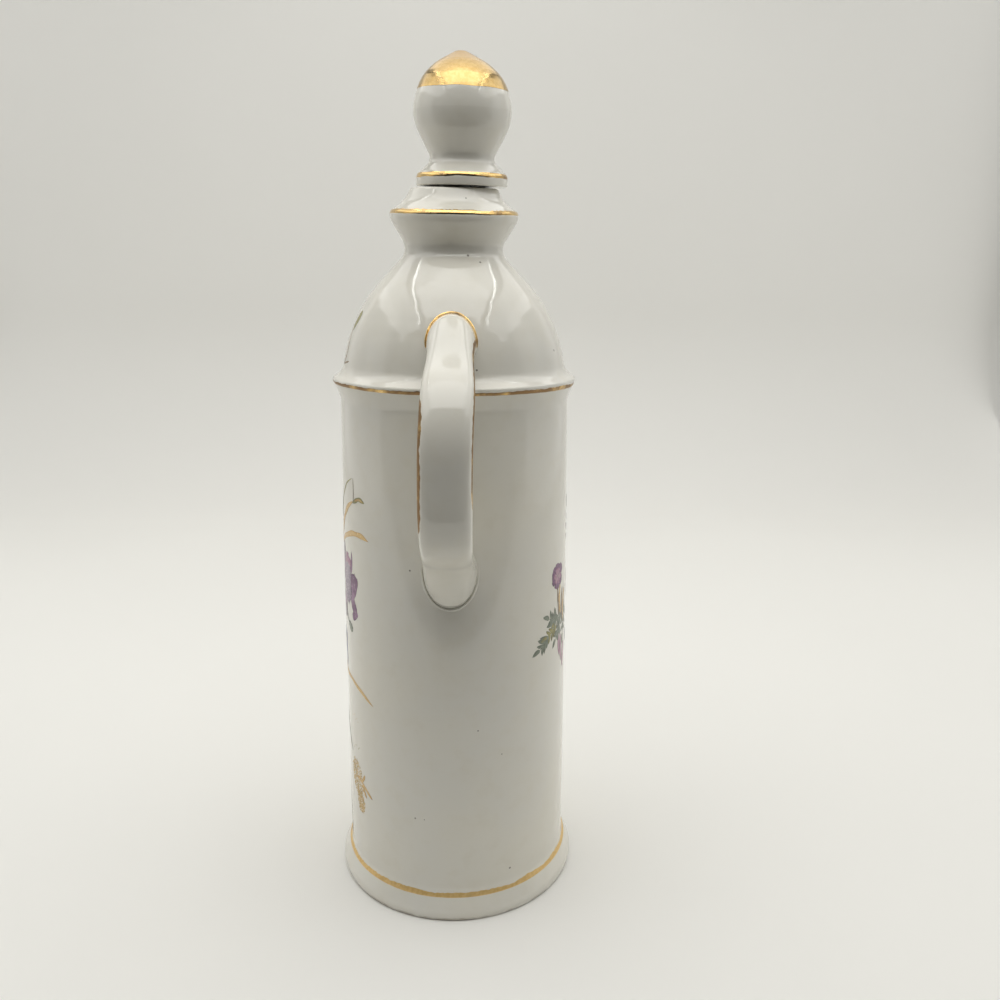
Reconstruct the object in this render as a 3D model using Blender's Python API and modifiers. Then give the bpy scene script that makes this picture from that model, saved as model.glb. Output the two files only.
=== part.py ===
"""Porcelain liquor decanter: a tall cast bottle, a strap handle and a corked ball stopper.

Units are metres and +Z is up. The bottle is turned round Z, its foot stands on z = 0 and
the handle reaches out towards -Y. The stopper lifts straight up out of the neck.
"""

import math

import bmesh
import bpy
from mathutils import Vector

# Cast wall and the clearances between pieces
WALL = 0.0032
BASE_THICKNESS = 0.0042
JOINT_GAP = 0.0003
RIM_GAP = 0.0004

# Foot of the bottle
FOOT_OVERHANG = 0.0032
FOOT_BELLY_HEIGHT = 0.0026
FOOT_HEIGHT = 0.0090
FOOT_RING_INSET = 0.0004
FOOT_RING_WIDTH = 0.0043
FOOT_EDGE_ROUND = 0.0007
FOOT_BELLY_ROUND = 0.0020
FOOT_HOLLOW_ROUND = 0.0016
BASE_RECESS = 0.0012
RECESS_SLOPE = 0.0010

# Cylinder, widest in its lower third, and the shoulder ring
BODY_RADIUS = 0.0361
BODY_TAPER = 0.0014
CYLINDER_HEIGHT = 0.1492
WIDEST_HEIGHT_SHARE = 0.355
BODY_SWELL_ROUND = 1.5
BODY_TOP_ROUND = 0.0022
SHOULDER_OVERHANG = 0.0023
SHOULDER_FLARE_HEIGHT = 0.0061
SHOULDER_EDGE_ROUND = 0.0008

# Dome
DOME_BASE_INSET = 0.0010
DOME_LEDGE_HEIGHT = 0.0021
DOME_BASE_ROUND = 0.0042
DOME_SIDE_INSET = 0.0028
DOME_SIDE_HEIGHT = 0.0165
DOME_SLOPE_HEIGHT = 0.0183
DOME_TURN_ROUND = 0.023

# Neck, its collar and the mouth
WAIST_RADIUS = 0.0135
WAIST_ROUND = 0.0038
COLLAR_OVERHANG = 0.0054
COLLAR_FLARE_HEIGHT = 0.0087
COLLAR_EDGE_HEIGHT = 0.0021
COLLAR_EDGE_INSET = 0.00015
COLLAR_TOP_ROUND = 0.0006
COLLAR_UNDER_ROUND = 0.0030
COLLAR_SLOPE_HEIGHT = 0.0036
NECK_FLARE = 0.0015
NECK_SLOPE_HEIGHT = 0.0029
NECK_ROUND = 0.0045
MOUTH_BORE_RADIUS = 0.0094
MOUTH_WALL = 0.0034
MOUTH_EDGE_ROUND = 0.0007
THROAT_LENGTH = 0.0034

# Hollow inside the bottle
HOLLOW_FLOOR_ROUND = 0.0060
HOLLOW_BEND_ROUND = 0.010
HOLLOW_COLLAR_ROUND = 0.0022

# Stopper: flange, waist and ball with a pointed cap, on a hollow peg
FLANGE_OVERHANG = 0.0005
FLANGE_THICKNESS = 0.0026
FLANGE_EDGE_ROUND = 0.0006
FLANGE_TOP_SLOPE = 0.0006
KNOB_OFFSET = 0.0023
KNOB_WAIST_RADIUS = 0.0089
KNOB_WAIST_RISE = 0.0051
KNOB_WAIST_ROUND = 0.0022
KNOB_RADIUS = 0.0142
KNOB_CHIN_RISE = 0.0098
KNOB_CHIN_ROUND = 0.0118
KNOB_CHEEK_HEIGHT = 0.0079
KNOB_BROW_ROUND = 0.0148
KNOB_CAP_HEIGHT = 0.0113
KNOB_CREST_RADIUS = 0.0095
KNOB_CREST_DROP = 0.0046
KNOB_CREST_ROUND = 0.0140
KNOB_POINT_RADIUS = 0.0024
KNOB_POINT_ROUND = 0.0063
KNOB_WALL = 0.0030
PEG_RADIUS = 0.0052
PEG_WALL = 0.0026
PEG_LENGTH = 0.0140
PEG_EDGE_ROUND = 0.0006

# Cork sleeve glued round the peg
CORK_TAPER = 0.0008
CORK_LENGTH = 0.0124
CORK_EDGE_ROUND = 0.0006

# Strap handle: where it joins, its bow, its width and its thickness
FINGER_GAP = 0.0233
HANDLE_TOP_RISE = 0.0096
HANDLE_TOP_OUTER_HEIGHT = 0.0088
HANDLE_TOP_INNER_HEIGHT = 0.0068
HANDLE_TOP_WIDTH = 0.0138
HANDLE_TOP_BEND_DROP = 0.0105
HANDLE_TOP_BEND_ROUND = 0.0140
HANDLE_FOOT_DROP = 0.0454
HANDLE_FOOT_OUTER_HEIGHT = 0.0112
HANDLE_FOOT_INNER_HEIGHT = 0.0078
HANDLE_FOOT_WIDTH = 0.0155
HANDLE_LOW_BEND_RISE = 0.0157
HANDLE_LOW_BEND_INSET = 0.0006
HANDLE_LOW_BEND_ROUND = 0.0125
HANDLE_THICKNESS = 0.0066
HANDLE_WIDTH = 0.0130
HANDLE_NECK_WIDTH = 0.0118
HANDLE_ROOT_LENGTH = 0.0190
HANDLE_ROOT_DEPTH = 0.0060
HANDLE_SQUARENESS = 2.8

# Radii that follow from these sizes
FOOT_RADIUS = BODY_RADIUS + FOOT_OVERHANG
FOOT_RING_RADIUS = FOOT_RADIUS - FOOT_RING_INSET
BODY_TOP_RADIUS = BODY_RADIUS - BODY_TAPER
SHOULDER_RADIUS = BODY_TOP_RADIUS + SHOULDER_OVERHANG
DOME_BASE_RADIUS = BODY_TOP_RADIUS - DOME_BASE_INSET
DOME_TURN_RADIUS = DOME_BASE_RADIUS - DOME_SIDE_INSET
COLLAR_RADIUS = WAIST_RADIUS + COLLAR_OVERHANG
COLLAR_UNDER_RADIUS = COLLAR_RADIUS - COLLAR_EDGE_INSET
MOUTH_RADIUS = MOUTH_BORE_RADIUS + MOUTH_WALL
NECK_RADIUS = MOUTH_RADIUS + NECK_FLARE
FLANGE_RADIUS = MOUTH_RADIUS + FLANGE_OVERHANG
PEG_BORE_RADIUS = PEG_RADIUS - PEG_WALL
HANDLE_REACH = BODY_RADIUS + FINGER_GAP + HANDLE_THICKNESS

# Heights that follow, from the foot up to the stopper's point
WIDEST_HEIGHT = FOOT_HEIGHT + CYLINDER_HEIGHT * WIDEST_HEIGHT_SHARE
BODY_TOP_HEIGHT = FOOT_HEIGHT + CYLINDER_HEIGHT
SHOULDER_HEIGHT = BODY_TOP_HEIGHT + SHOULDER_FLARE_HEIGHT
DOME_BASE_HEIGHT = SHOULDER_HEIGHT + DOME_LEDGE_HEIGHT
DOME_TURN_HEIGHT = DOME_BASE_HEIGHT + DOME_SIDE_HEIGHT
WAIST_HEIGHT = DOME_TURN_HEIGHT + DOME_SLOPE_HEIGHT
COLLAR_UNDER_HEIGHT = WAIST_HEIGHT + COLLAR_FLARE_HEIGHT
COLLAR_TOP_HEIGHT = COLLAR_UNDER_HEIGHT + COLLAR_EDGE_HEIGHT
NECK_HEIGHT = COLLAR_TOP_HEIGHT + COLLAR_SLOPE_HEIGHT
MOUTH_HEIGHT = NECK_HEIGHT + NECK_SLOPE_HEIGHT
FLANGE_UNDERSIDE = MOUTH_HEIGHT + RIM_GAP
FLANGE_TOP = FLANGE_UNDERSIDE + FLANGE_THICKNESS
KNOB_WAIST_HEIGHT = FLANGE_TOP + KNOB_WAIST_RISE
KNOB_CHIN_HEIGHT = KNOB_WAIST_HEIGHT + KNOB_CHIN_RISE
KNOB_BROW_HEIGHT = KNOB_CHIN_HEIGHT + KNOB_CHEEK_HEIGHT
KNOB_TOP_HEIGHT = KNOB_BROW_HEIGHT + KNOB_CAP_HEIGHT
HANDLE_TOP_CENTRE = DOME_BASE_HEIGHT + HANDLE_TOP_RISE
HANDLE_FOOT_CENTRE = BODY_TOP_HEIGHT - HANDLE_FOOT_DROP
HANDLE_TOP_BEND_HEIGHT = HANDLE_TOP_CENTRE - HANDLE_TOP_BEND_DROP
HANDLE_LOW_BEND_HEIGHT = HANDLE_FOOT_CENTRE + HANDLE_LOW_BEND_RISE

# Fineness of the faceted solids
TURN_STEPS = 56
KNOB_STEPS = 40
CORK_STEPS = 32
ARC_STEP = math.radians(24)
STRAP_SIDES = 20
STRAP_STATIONS = 34
MERGE_DISTANCE = 0.00001
SHARP_ANGLE = math.radians(35)

GLAZE = ("glazed_porcelain", (0.72, 0.71, 0.66), 0.12)
CORK = ("cork", (0.55, 0.38, 0.22), 0.85)


def clear_scene():
    """Remove whatever the file holds before the model is built."""
    for leftover in list(bpy.data.objects):
        bpy.data.objects.remove(leftover, do_unlink=True)


def make_collection(name):
    """Add a collection to the scene."""
    collection = bpy.data.collections.new(name)
    bpy.context.scene.collection.children.link(collection)
    return collection


def make_material(name, colour, roughness):
    """Make a plain Principled material."""
    material = bpy.data.materials.new(name)
    material.use_nodes = True
    shader = material.node_tree.nodes["Principled BSDF"]
    shader.inputs["Base Color"].default_value = (*colour, 1)
    shader.inputs["Roughness"].default_value = roughness
    shader.inputs["Metallic"].default_value = 0
    return material


def arc_reaches(places, roundings):
    """How far each corner's arc reaches along its edges; two arcs share an edge too short for both."""
    reaches = []
    for index, rounding in enumerate(roundings):
        if rounding == 0:
            reaches.append(0)
            continue
        back = places[index - 1] - places[index]
        ahead = places[index + 1] - places[index]
        reaches.append(rounding * math.tan((math.pi - back.angle(ahead)) / 2))
    allowed = list(reaches)
    for index in range(len(places) - 1):
        length = (places[index + 1] - places[index]).length
        wanted = reaches[index] + reaches[index + 1]
        if wanted > length:
            allowed[index] = min(allowed[index], reaches[index] * length / wanted)
            allowed[index + 1] = min(allowed[index + 1], reaches[index + 1] * length / wanted)
    return allowed


def rounded(corners):
    """Turn corners (radius, height, rounding) into outline points, with an arc at each rounding."""
    places = [Vector(corner[:2]) for corner in corners]
    reaches = arc_reaches(places, [corner[2] for corner in corners])
    points = []
    for index, (corner, reach) in enumerate(zip(places, reaches)):
        if reach == 0:
            points.append(corner)
            continue
        back = places[index - 1] - corner
        ahead = places[index + 1] - corner
        half_turn = (math.pi - back.angle(ahead)) / 2
        towards_centre = (back.normalized() + ahead.normalized()).normalized()
        centre = corner + towards_centre * math.hypot(reach, reach / math.tan(half_turn))
        start = corner + back.normalized() * reach - centre
        end = corner + ahead.normalized() * reach - centre
        count = max(1, math.ceil(2 * half_turn / ARC_STEP))
        sweep = start.angle_signed(end)
        for step in range(count + 1):
            angle = -sweep * step / count
            turned = Vector((start.x * math.cos(angle) - start.y * math.sin(angle),
                             start.x * math.sin(angle) + start.y * math.cos(angle)))
            points.append(centre + turned)
    return points


def swell(points, distance):
    """Move the points of an open outline outwards, square to it, by a distance."""
    moved = []
    for index, point in enumerate(points):
        last = points[max(index - 1, 0)]
        following = points[min(index + 1, len(points) - 1)]
        run = (following - last).normalized()
        moved.append(Vector((point.x - run.y * distance, point.y + run.x * distance)))
    return moved


def turned_object(name, outline, collection, material=None, steps=TURN_STEPS):
    """Spin an outline round Z with a Screw modifier; the outline runs down its outer side."""
    mesh = bpy.data.meshes.new(name)
    vertices = [(point.x, 0, point.y) for point in outline]
    edges = [(index, index + 1) for index in range(len(outline) - 1)]
    mesh.from_pydata(vertices, edges, [])
    item = bpy.data.objects.new(name, mesh)
    collection.objects.link(item)
    if material:
        mesh.materials.append(material)
    screw = item.modifiers.new("Turn", "SCREW")
    screw.axis = "Z"
    screw.angle = 2 * math.pi
    screw.steps = steps
    screw.render_steps = steps
    screw.use_merge_vertices = True
    screw.merge_threshold = MERGE_DISTANCE
    screw.use_smooth_shade = True
    return item


def settle_mesh(item):
    """Replace an object's mesh by its evaluated one, without modifiers."""
    graph = bpy.context.evaluated_depsgraph_get()
    settled = bpy.data.meshes.new_from_object(item.evaluated_get(graph))
    item.modifiers.clear()
    item.data = settled
    return settled


def shade_round(mesh):
    """Shade a mesh smooth, with its real edges left sharp."""
    mesh.shade_smooth()
    mesh.set_sharp_from_angle(angle=SHARP_ANGLE)


def bottle_outside():
    """Corners of the bottle's outside, from the mouth down to the foot."""
    return [
        (MOUTH_RADIUS, MOUTH_HEIGHT, MOUTH_EDGE_ROUND),
        (NECK_RADIUS, NECK_HEIGHT, NECK_ROUND),
        (COLLAR_RADIUS, COLLAR_TOP_HEIGHT, COLLAR_TOP_ROUND),
        (COLLAR_UNDER_RADIUS, COLLAR_UNDER_HEIGHT, COLLAR_UNDER_ROUND),
        (WAIST_RADIUS, WAIST_HEIGHT, WAIST_ROUND),
        (DOME_TURN_RADIUS, DOME_TURN_HEIGHT, DOME_TURN_ROUND),
        (DOME_BASE_RADIUS, DOME_BASE_HEIGHT, DOME_BASE_ROUND),
        (SHOULDER_RADIUS, SHOULDER_HEIGHT, SHOULDER_EDGE_ROUND),
        (BODY_TOP_RADIUS, BODY_TOP_HEIGHT, BODY_TOP_ROUND),
        (BODY_RADIUS, WIDEST_HEIGHT, BODY_SWELL_ROUND),
        (BODY_RADIUS, FOOT_HEIGHT, FOOT_HOLLOW_ROUND),
        (FOOT_RADIUS, FOOT_BELLY_HEIGHT, FOOT_BELLY_ROUND),
        (FOOT_RING_RADIUS, 0, FOOT_EDGE_ROUND),
    ]


def bottle_inside():
    """Corners of the hollow, from the middle of its floor up to the mouth's bore."""
    floor = BASE_RECESS + BASE_THICKNESS
    dome_turn_share = 0.94
    waist_share = 1.24
    collar_height = (COLLAR_TOP_HEIGHT + COLLAR_UNDER_HEIGHT) / 2
    return [
        (0, floor, 0),
        (BODY_RADIUS - WALL, floor, HOLLOW_FLOOR_ROUND),
        (BODY_RADIUS - WALL, WIDEST_HEIGHT, BODY_SWELL_ROUND),
        (BODY_TOP_RADIUS - WALL, SHOULDER_HEIGHT - WALL, HOLLOW_BEND_ROUND),
        (DOME_TURN_RADIUS - WALL * dome_turn_share, DOME_TURN_HEIGHT - WALL / 2,
         DOME_TURN_ROUND - WALL),
        (WAIST_RADIUS - WALL * waist_share, WAIST_HEIGHT, WAIST_ROUND + WALL),
        (COLLAR_UNDER_RADIUS - WALL * waist_share, collar_height, HOLLOW_COLLAR_ROUND),
        (MOUTH_BORE_RADIUS, MOUTH_HEIGHT - THROAT_LENGTH, MOUTH_EDGE_ROUND),
        (MOUTH_BORE_RADIUS, MOUTH_HEIGHT, MOUTH_EDGE_ROUND),
    ]


def bottle_underside():
    """Corners under the bottle, from the foot ring in to the middle of the recessed base."""
    ring_inner_radius = FOOT_RING_RADIUS - FOOT_RING_WIDTH
    return [
        (ring_inner_radius, 0, 0),
        (ring_inner_radius - RECESS_SLOPE, BASE_RECESS, 0),
        (0, BASE_RECESS, 0),
    ]


def build_bottle(collection, material):
    """The slip-cast bottle, hollow and open at its mouth."""
    corners = bottle_inside() + bottle_outside() + bottle_underside()
    return turned_object("bottle_body", rounded(corners), collection, material)


def strap_path():
    """Points of the strap's middle line, as (distance from the axis, height)."""
    half = HANDLE_THICKNESS / 2
    top_wall = outside_radius_at(HANDLE_TOP_CENTRE)
    low_wall = outside_radius_at(HANDLE_FOOT_CENTRE)
    bow = HANDLE_REACH - half
    return rounded([
        (top_wall - HANDLE_ROOT_DEPTH, HANDLE_TOP_CENTRE, 0),
        (top_wall, HANDLE_TOP_CENTRE, 0),
        (bow, HANDLE_TOP_BEND_HEIGHT, HANDLE_TOP_BEND_ROUND),
        (bow - HANDLE_LOW_BEND_INSET, HANDLE_LOW_BEND_HEIGHT, HANDLE_LOW_BEND_ROUND),
        (low_wall, HANDLE_FOOT_CENTRE, 0),
        (low_wall - HANDLE_ROOT_DEPTH, HANDLE_FOOT_CENTRE, 0),
    ])


def outside_radius_at(height):
    """Radius of the bottle's outside at a height, read from its outline."""
    outline = rounded([(MOUTH_BORE_RADIUS, MOUTH_HEIGHT, 0)] + bottle_outside()
                      + [(0, 0, 0)])
    for upper, lower in zip(outline, outline[1:]):
        if upper.y >= height >= lower.y and upper.y > lower.y:
            share = (upper.y - height) / (upper.y - lower.y)
            return upper.x + (lower.x - upper.x) * share
    return BODY_RADIUS


def spread_along(points, count):
    """Place a number of stations evenly along a line; each has its point and its distance."""
    lengths = [(ahead - here).length for here, ahead in zip(points, points[1:])]
    total = sum(lengths)
    stations = []
    for index in range(count):
        distance = total * index / (count - 1)
        left = distance
        segment = 0
        while segment < len(lengths) - 1 and left > lengths[segment]:
            left -= lengths[segment]
            segment += 1
        share = min(left / lengths[segment], 1)
        stations.append((points[segment].lerp(points[segment + 1], share), distance))
    return stations, total


def ease(share):
    """Smooth step from 0 to 1."""
    share = min(max(share, 0), 1)
    return share * share * (3 - 2 * share)


def strap_section(distance, total):
    """Half width, outer and inner half heights and root flare of the strap along its length."""
    narrow_end_share = 0.22
    widening_share = 0.26
    from_top = distance - HANDLE_ROOT_DEPTH
    from_foot = total - distance - HANDLE_ROOT_DEPTH
    top_flare = (1 - min(max(from_top / HANDLE_ROOT_LENGTH, 0), 1)) ** 2
    foot_flare = (1 - min(max(from_foot / HANDLE_ROOT_LENGTH, 0), 1)) ** 2
    body_share = ease((distance / total - narrow_end_share) / widening_share)
    plain_width = HANDLE_NECK_WIDTH + (HANDLE_WIDTH - HANDLE_NECK_WIDTH) * body_share
    width = (plain_width + (HANDLE_TOP_WIDTH - plain_width) * top_flare
             + (HANDLE_FOOT_WIDTH - plain_width) * foot_flare)
    half = HANDLE_THICKNESS / 2
    outer = (half + (HANDLE_TOP_OUTER_HEIGHT - half) * top_flare
             + (HANDLE_FOOT_OUTER_HEIGHT - half) * foot_flare)
    inner = (half + (HANDLE_TOP_INNER_HEIGHT - half) * top_flare
             + (HANDLE_FOOT_INNER_HEIGHT - half) * foot_flare)
    return width / 2, outer, inner, max(top_flare, foot_flare)


def build_handle(collection, material, cutter):
    """The strap handle: flattened sections lofted along its bow, cut to the bottle's wall."""
    path = strap_path()
    stations, total = spread_along(path, STRAP_STATIONS)
    loft = bmesh.new()
    rings = []
    for index, (point, distance) in enumerate(stations):
        last = stations[max(index - 1, 0)][0]
        following = stations[min(index + 1, len(stations) - 1)][0]
        run = (following - last).normalized()
        half_width, outer, inner, flare = strap_section(distance, total)
        level = Vector((math.copysign(1, run.x), 0))
        run = run.lerp(level, flare).normalized()
        squareness = HANDLE_SQUARENESS + (2 - HANDLE_SQUARENESS) * flare
        ring = []
        for side in range(STRAP_SIDES):
            angle = 2 * math.pi * side / STRAP_SIDES
            across = math.copysign(abs(math.cos(angle)) ** (2 / squareness), math.cos(angle))
            outwards = math.copysign(abs(math.sin(angle)) ** (2 / squareness), math.sin(angle))
            offset = (outer if outwards > 0 else inner) * outwards
            reach = point.x - run.y * offset
            height = point.y + run.x * offset
            ring.append(loft.verts.new((half_width * across, -reach, height)))
        rings.append(ring)
    for ring, following in zip(rings, rings[1:]):
        for side in range(STRAP_SIDES):
            beside = (side + 1) % STRAP_SIDES
            loft.faces.new((ring[side], ring[beside], following[beside], following[side]))
    loft.faces.new(rings[0])
    loft.faces.new(rings[-1])
    bmesh.ops.recalc_face_normals(loft, faces=loft.faces)
    mesh = bpy.data.meshes.new("strap_handle")
    loft.to_mesh(mesh)
    loft.free()
    mesh.materials.append(material)
    shade_round(mesh)
    handle = bpy.data.objects.new("strap_handle", mesh)
    collection.objects.link(handle)
    trim = handle.modifiers.new("Fit to wall", "BOOLEAN")
    trim.operation = "DIFFERENCE"
    trim.solver = "EXACT"
    trim.object = cutter
    return handle


def build_wall_cutter(collection):
    """A solid of the bottle's outside, larger by the joint's gap, that trims the handle."""
    outside = rounded([(0, MOUTH_HEIGHT, 0)] + bottle_outside() + [(0, 0, 0)])
    grown = swell(outside[1:-1], JOINT_GAP)
    outline = [Vector((0, grown[0].y))] + grown + [Vector((0, grown[-1].y))]
    cutter = turned_object("wall_cutter", outline, collection)
    cutter.hide_render = True
    cutter.display_type = "WIRE"
    return cutter


def knob_corners():
    """Corners of the stopper, from its point down the outside and up its hollow."""
    peg_end = FLANGE_UNDERSIDE - PEG_LENGTH
    ball_height = (KNOB_BROW_HEIGHT + KNOB_CHIN_HEIGHT) / 2
    hollow_radius = KNOB_RADIUS - KNOB_WALL
    hollow_top = KNOB_TOP_HEIGHT - KNOB_WALL
    return [
        (0, KNOB_TOP_HEIGHT, 0),
        (KNOB_POINT_RADIUS, KNOB_TOP_HEIGHT, KNOB_POINT_ROUND),
        (KNOB_CREST_RADIUS, KNOB_TOP_HEIGHT - KNOB_CREST_DROP, KNOB_CREST_ROUND),
        (KNOB_RADIUS, KNOB_BROW_HEIGHT, KNOB_BROW_ROUND),
        (KNOB_RADIUS, KNOB_CHIN_HEIGHT, KNOB_CHIN_ROUND),
        (KNOB_WAIST_RADIUS, KNOB_WAIST_HEIGHT, KNOB_WAIST_ROUND),
        (FLANGE_RADIUS, FLANGE_TOP + FLANGE_TOP_SLOPE, FLANGE_EDGE_ROUND),
        (FLANGE_RADIUS, FLANGE_UNDERSIDE, FLANGE_EDGE_ROUND),
        (PEG_RADIUS, FLANGE_UNDERSIDE, 0),
        (PEG_RADIUS, peg_end, PEG_EDGE_ROUND),
        (PEG_BORE_RADIUS, peg_end, PEG_EDGE_ROUND),
        (PEG_BORE_RADIUS, KNOB_WAIST_HEIGHT, KNOB_WAIST_ROUND),
        (hollow_radius, KNOB_CHIN_HEIGHT, hollow_radius / 2),
        (hollow_radius, ball_height + hollow_radius / 2, hollow_radius / 2),
        (PEG_BORE_RADIUS, hollow_top, PEG_BORE_RADIUS),
        (0, hollow_top, 0),
    ]


def build_stopper(collection, material):
    """The hollow stopper: its ball sits a little to one side of its peg, as luted by hand."""
    outline = rounded(knob_corners())
    stopper = turned_object("stopper_knob", outline, collection, material, KNOB_STEPS)
    mesh = settle_mesh(stopper)
    clear_radius = (PEG_RADIUS + KNOB_WAIST_RADIUS) / 2
    for vertex in mesh.vertices:
        above = (vertex.co.z - FLANGE_UNDERSIDE) / (KNOB_WAIST_HEIGHT - FLANGE_UNDERSIDE)
        radius = math.hypot(vertex.co.x, vertex.co.y)
        if radius > clear_radius and vertex.co.z > FLANGE_UNDERSIDE - RIM_GAP:
            above = 1
        vertex.co.x += KNOB_OFFSET * ease(above)
    shade_round(mesh)
    return stopper


def build_cork(collection, material):
    """The tapered cork sleeve round the peg, which grips the bore of the mouth."""
    top = MOUTH_HEIGHT - RIM_GAP
    bottom = top - CORK_LENGTH
    top_radius = MOUTH_BORE_RADIUS - JOINT_GAP
    bottom_radius = top_radius - CORK_TAPER
    bore_radius = PEG_RADIUS + JOINT_GAP
    corners = [
        (bore_radius, top, 0),
        (top_radius, top, CORK_EDGE_ROUND),
        (bottom_radius, bottom, CORK_EDGE_ROUND),
        (bore_radius, bottom, 0),
        (bore_radius, top, 0),
    ]
    return turned_object("cork_sleeve", rounded(corners), collection, material, CORK_STEPS)


def build_decanter():
    """Build every piece and carry the stopper on the axis that it lifts along."""
    clear_scene()
    pieces = make_collection("decanter")
    cutters = make_collection("cutters")
    glaze = make_material(*GLAZE)
    cork = make_material(*CORK)
    build_bottle(pieces, glaze)
    build_handle(pieces, glaze, build_wall_cutter(cutters))
    lift_axis = bpy.data.objects.new("stopper_lift_axis", None)
    lift_axis.empty_display_size = MOUTH_RADIUS
    pieces.objects.link(lift_axis)
    build_stopper(pieces, glaze).parent = lift_axis
    build_cork(pieces, cork).parent = lift_axis


build_decanter()
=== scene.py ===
import bisect
import math
import random

import bmesh
import bpy
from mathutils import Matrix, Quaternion, Vector, noise


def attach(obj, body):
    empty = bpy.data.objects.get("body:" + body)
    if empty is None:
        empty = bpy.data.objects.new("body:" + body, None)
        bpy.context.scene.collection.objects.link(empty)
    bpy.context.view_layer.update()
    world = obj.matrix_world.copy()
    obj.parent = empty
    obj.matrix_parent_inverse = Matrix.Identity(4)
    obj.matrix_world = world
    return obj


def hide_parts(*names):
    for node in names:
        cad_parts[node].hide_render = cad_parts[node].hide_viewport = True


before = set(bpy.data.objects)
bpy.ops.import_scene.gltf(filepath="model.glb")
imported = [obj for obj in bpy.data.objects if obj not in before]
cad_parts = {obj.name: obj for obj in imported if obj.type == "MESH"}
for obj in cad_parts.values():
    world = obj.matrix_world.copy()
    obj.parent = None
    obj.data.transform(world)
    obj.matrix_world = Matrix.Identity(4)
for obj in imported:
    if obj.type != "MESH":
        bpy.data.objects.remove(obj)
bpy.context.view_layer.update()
MM = 0.001


# The bottle: one slip-cast porcelain shell with a flanged foot, a ring at the shoulder, a dome and
# a collared neck. It is dipped in clear glaze inside and out, and its foot ring is wiped bare.
turn_steps = 192
row_spacing = 2.2 * MM
arc_step = math.radians(7)
lean_start = 196 * MM
lean_end = 207 * MM
neck_lean = math.radians(0.7)
neck_nod = 0.07
out_of_true = ((34 * MM, 0.07 * MM), (13 * MM, 0.018 * MM))
flat_below = 1.5 * MM
bottle_hollow = {
    "floor middle": (0, 5.4, 0),
    "floor edge": (32.9, 5.4, 6.0),
    "wall, widest": (32.9, 62.0, 20.0),
    "wall top": (31.5, 161.1, 2.0),
    "under dome turn": (27.9, 181.3, 9.5),
    "under waist": (9.5, 201.2, 5.0),
    "behind collar": (14.8, 210.95, 1.7),
    "throat": (9.4, 215.3, 0.3),
    "bore top": (9.4, 218.8, 0.7),
}
bottle_outside = {
    "mouth rim": (12.8, 218.8, 0.6),
    "neck top": (14.3, 215.6, 1.7),
    "collar edge": (18.95, 212.1, 0.95),
    "collar underside": (18.8, 209.9, 0.9),
    "waist": (13.5, 201.2, 3.2),
    "dome turn": (30.95, 182.9, 11.5),
    "dome base": (33.75, 166.4, 1.9),
    "shoulder ring": (37.05, 164.3, 0.7),
    "wall top": (34.7, 158.2, 0.8),
    "wall, widest": (36.1, 62.0, 40.0),
    "wall bottom": (36.1, 9.0, 0.6),
    "foot belly": (39.33, 2.6, 1.1),
    "foot ring, outer": (38.9, 0, 0.6),
}
bottle_underside = {
    "foot ring, inner": (34.6, 0, 0.25),
    "recess edge": (33.6, 1.2, 0.3),
    "recess middle": (0, 1.2, 0),
}


def outline_wire(*outlines):
    """A wire through corners (radius, height, rounding) in mm; the rounding is cut back along both sides."""
    corners = [corner for outline in outlines for corner in outline.values()]
    wire = bmesh.new()
    places = [Vector((radius, 0, height)) * MM for radius, height, _ in corners]
    vertices = [wire.verts.new(place) for place in places]
    for here, ahead in zip(vertices, vertices[1:]):
        wire.edges.new((here, ahead))
    for index, (_, _, rounding) in enumerate(corners):
        if rounding:
            turn = (places[index] - places[index - 1]).angle(places[index + 1] - places[index])
            segments = max(3, math.ceil(turn / arc_step))
            bmesh.ops.bevel(wire, geom=[vertices[index]], offset=rounding * MM, offset_type="OFFSET",
                            segments=segments, profile=0.5, affect="VERTICES", material=-1)
    for edge in list(wire.edges):
        cuts = int(edge.calc_length() / row_spacing)
        if cuts:
            bmesh.ops.subdivide_edges(wire, edges=[edge], cuts=cuts)
    return wire


def in_order(wire, corner):
    """The places of a wire's vertices, from its end nearest to a corner."""
    start = Vector((corner[0], 0, corner[1])) * MM
    ends = [vertex for vertex in wire.verts if len(vertex.link_edges) == 1]
    vertex = min(ends, key=lambda end: (end.co - start).length)
    walked = [vertex.co.copy()]
    edge = None
    while True:
        onward = [link for link in vertex.link_edges if link is not edge]
        if not onward:
            return walked
        edge = onward[0]
        vertex = edge.other_vert(vertex)
        walked.append(vertex.co.copy())


def turn_wire(wire, steps):
    """Spin a wire once round Z into a closed shell with its faces outwards."""
    bmesh.ops.spin(wire, geom=wire.verts[:] + wire.edges[:], cent=(0, 0, 0), axis=(0, 0, 1),
                   dvec=(0, 0, 0), angle=2 * math.pi, steps=steps, use_merge=True,
                   use_normal_flip=False, use_duplicate=False)
    bmesh.ops.remove_doubles(wire, verts=wire.verts, dist=0.004 * MM)
    bmesh.ops.recalc_face_normals(wire, faces=wire.faces)
    return wire


def make_object(shape, name, material):
    """Make a bmesh a smooth object at the origin."""
    mesh = bpy.data.meshes.new(name)
    shape.to_mesh(mesh)
    shape.free()
    mesh.materials.append(material)
    mesh.shade_smooth()
    made = bpy.data.objects.new(name, mesh)
    bpy.context.scene.collection.objects.link(made)
    return made


def finish_piece(shape, name, material, body, slot, *replaced, sharp=40):
    """Make a bmesh a piece that rides on a body, with sharp edges where it turns by more than an angle."""
    piece = make_object(shape, name, material)
    piece.data.set_sharp_from_angle(angle=math.radians(sharp))
    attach(piece, body)
    if replaced:
        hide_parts(*replaced)


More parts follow.
